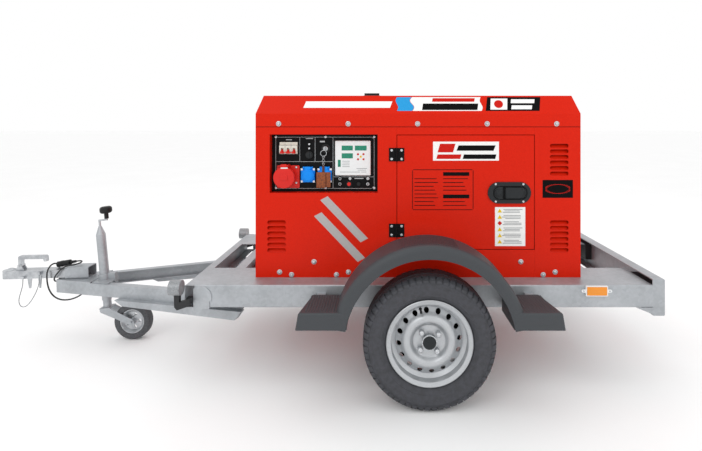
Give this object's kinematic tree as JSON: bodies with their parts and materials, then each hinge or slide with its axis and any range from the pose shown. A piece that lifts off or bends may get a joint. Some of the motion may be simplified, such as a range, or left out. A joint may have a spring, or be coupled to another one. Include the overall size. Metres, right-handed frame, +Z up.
{
  "type": "towable generator",
  "caption": "Silent-canopy diesel generator on a galvanised single-axle trailer with V drawbar, ball coupling, jockey wheel, mudguards, control recess and side service door.",
  "frame": {"origin": "centre of the whole trailer's footprint box, on the ground", "axes": "+X towards the trailer's rear, away from the coupling; +Z up; the side with the controls and the service door faces -Y"},
  "size_m": [3.458, 1.5, 1.3685],
  "materials": {
    "galvanised": "hot-dip galvanised, dull",
    "rim_silver": "silver wheel paint",
    "hub_metal": "machined and zinc plated",
    "tyre": "matt black rubber",
    "guard_plastic": "grained dark grey",
    "canopy_red": "gloss powder coat",
    "black_metal": "satin black powder coat",
    "black_plastic": "fine grain",
    "zinc": "zinc plated",
    "cream_plastic": "moulded",
    "red_plastic": "moulded",
    "blue_plastic": "moulded",
    "grey_plastic": "moulded",
    "lamp_lens": "moulded lenses on black rubber",
    "engine_iron": "painted casting",
    "wire": "twisted steel wire",
    "cord_black": "black jacket",
    "jockey_rubber": "grey-black solid rubber",
    "aluminium": "finned core",
    "key_steel": "nickel plated",
    "button_red": "moulded"
  },
  "bodies": {
    "trailer": {"axle_tube": "galvanised", "back_panel": "canopy_red", "battery": "black_plastic", "breaker": "cream_plastic", "control_panel": "black_metal", "controller": "grey_plastic", "coupling_head": "galvanised", "coupling_sleeve": "galvanised", "cross_members": "galvanised", "drawbar_arm_far": "galvanised", "drawbar_arm_near": "galvanised", "end_panels": "canopy_red", "engine": "engine_iron", "front_beam": "galvanised", "front_panel": "canopy_red", "fuel_tank": "black_plastic", "genset_base": "canopy_red", "hinge_leaves_fixed": "black_metal", "jockey_clamp": "galvanised", "jockey_outer_tube": "galvanised", "lamps": "lamp_lens", "lead_plug": "black_plastic", "mudguard_far": "guard_plastic", "mudguard_near": "guard_plastic", "mudguard_stays": "galvanised", "panel_fittings": "black_plastic", "radiator": "aluminium", "rail_far": "galvanised", "rail_near": "galvanised", "rear_beam": "galvanised", "roof": "canopy_red", "safety_cable": "wire", "silencer": "black_metal", "socket_bodies": "blue_plastic", "trailer_lead": "cord_black"},
    "swing_near": {"swing_arm_near": "black_metal"},
    "swing_far": {"swing_arm_far": "black_metal"},
    "wheel_near": {"hub_near": "hub_metal", "rim_near": "rim_silver", "tyre_near": "tyre"},
    "wheel_far": {"hub_far": "hub_metal", "rim_far": "rim_silver", "tyre_far": "tyre"},
    "leg": {"jockey_leg": "galvanised"},
    "jockey_wheel": {"jockey_rim": "grey_plastic", "jockey_tyre": "jockey_rubber"},
    "crank": {"jockey_crank": "zinc"},
    "knob": {"jockey_knob": "black_plastic"},
    "handle": {"coupling_handle": "galvanised"},
    "door": {"service_door": "canopy_red", "hinge_leaves_door": "black_metal", "handle_bezel": "black_plastic"},
    "paddle": {"paddle": "black_plastic"},
    "levers": {"breaker_levers": "red_plastic"},
    "key_body": {"key": "key_steel"},
    "stop": {"stop_button": "button_red"},
    "red_cover": {"red_lid": "red_plastic"},
    "blue_cover_left": {"blue_lid_left": "blue_plastic"},
    "blue_cover_right": {"blue_lid_right": "blue_plastic"},
    "cap": {"fuel_cap": "black_plastic"}
  },
  "joints": [
    {"name": "swing_near_pivot", "type": "hinge", "parent": "trailer", "child": "swing_near", "pos_m": [0.47, 0, 0.303], "axis": [0, 1, 0], "range_deg": [-10, 10], "stiffness_Nm_per_rad": 6000, "springref_deg": 4.38},
    {"name": "wheel_near_spin", "type": "hinge", "parent": "swing_near", "child": "wheel_near", "pos_m": [0.62, 0, 0.281], "axis": [0, 1, 0], "continuous": true},
    {"name": "swing_far_pivot", "type": "hinge", "parent": "trailer", "child": "swing_far", "pos_m": [0.47, 0, 0.303], "axis": [0, 1, 0], "range_deg": [-10, 10], "stiffness_Nm_per_rad": 6000, "springref_deg": 4.38},
    {"name": "wheel_far_spin", "type": "hinge", "parent": "swing_far", "child": "wheel_far", "pos_m": [0.62, 0, 0.281], "axis": [0, 1, 0], "continuous": true},
    {"name": "leg_slide", "type": "slide", "parent": "trailer", "child": "leg", "axis": [-0.0958, 0, 0.9954], "range_m": [-0.15, 0.035]},
    {"name": "crank_turn", "type": "hinge", "parent": "trailer", "child": "crank", "pos_m": [-1.131, -0.045, 0.366], "axis": [-0.0958, 0, 0.9954], "range_deg": [-10900, 2600]},
    {"name": "knob_spin", "type": "hinge", "parent": "crank", "child": "knob", "pos_m": [-1.11875, -0.045, 0.66656], "axis": [-0.0958, 0, 0.9954], "continuous": true},
    {"name": "jockey_wheel_spin", "type": "hinge", "parent": "leg", "child": "jockey_wheel", "pos_m": [-0.966, -0.045, 0.1], "axis": [0, 1, 0], "continuous": true},
    {"name": "handle_lift", "type": "hinge", "parent": "trailer", "child": "handle", "pos_m": [-1.62937, 0, 0.39194], "axis": [0, -1, 0], "range_deg": [0, 45]},
    {"name": "door_hinge", "type": "hinge", "parent": "trailer", "child": "door", "pos_m": [0.491, -0.397, 0.8645], "axis": [0, 0, -1], "range_deg": [0, 17.5]},
    {"name": "paddle_pull", "type": "hinge", "parent": "door", "child": "paddle", "pos_m": [1.1, -0.393, 0.862], "axis": [0, 0, 1], "range_deg": [0, 35], "stiffness_Nm_per_rad": 0.5},
    {"name": "breaker_lever_turn", "type": "hinge", "parent": "trailer", "child": "levers", "pos_m": [-0.041, -0.36, 1.065], "axis": [-1, 0, 0], "range_deg": [0, 45]},
    {"name": "key_turn", "type": "hinge", "parent": "trailer", "child": "key_body", "pos_m": [0.141, -0.354, 1.074], "axis": [0, 1, 0], "range_deg": [0, 90]},
    {"name": "stop_press", "type": "slide", "parent": "trailer", "child": "stop", "axis": [0, 1, 0], "range_m": [0, 0.004], "stiffness_N_per_m": 600},
    {"name": "red_lid_hinge", "type": "hinge", "parent": "trailer", "child": "red_cover", "pos_m": [-0.056, -0.3864, 0.992], "axis": [-1, 0, 0], "range_deg": [0, 100]},
    {"name": "fuel_cap_turn", "type": "hinge", "parent": "trailer", "child": "cap", "pos_m": [0.362, 0, 1.3414], "axis": [0, 0, 1], "range_deg": [0, 90]},
    {"name": "blue_lid_left_hinge", "type": "hinge", "parent": "trailer", "child": "blue_cover_left", "pos_m": [0.054, -0.358, 0.981], "axis": [-1, 0, 0], "range_deg": [0, 100]},
    {"name": "blue_lid_right_hinge", "type": "hinge", "parent": "trailer", "child": "blue_cover_right", "pos_m": [0.137, -0.358, 0.981], "axis": [-1, 0, 0], "range_deg": [0, 100]}
  ],
  "couplings": [
    {"joint": "crank_turn", "follows": "leg_slide", "rad_per_m": 1256.6}
  ]
}
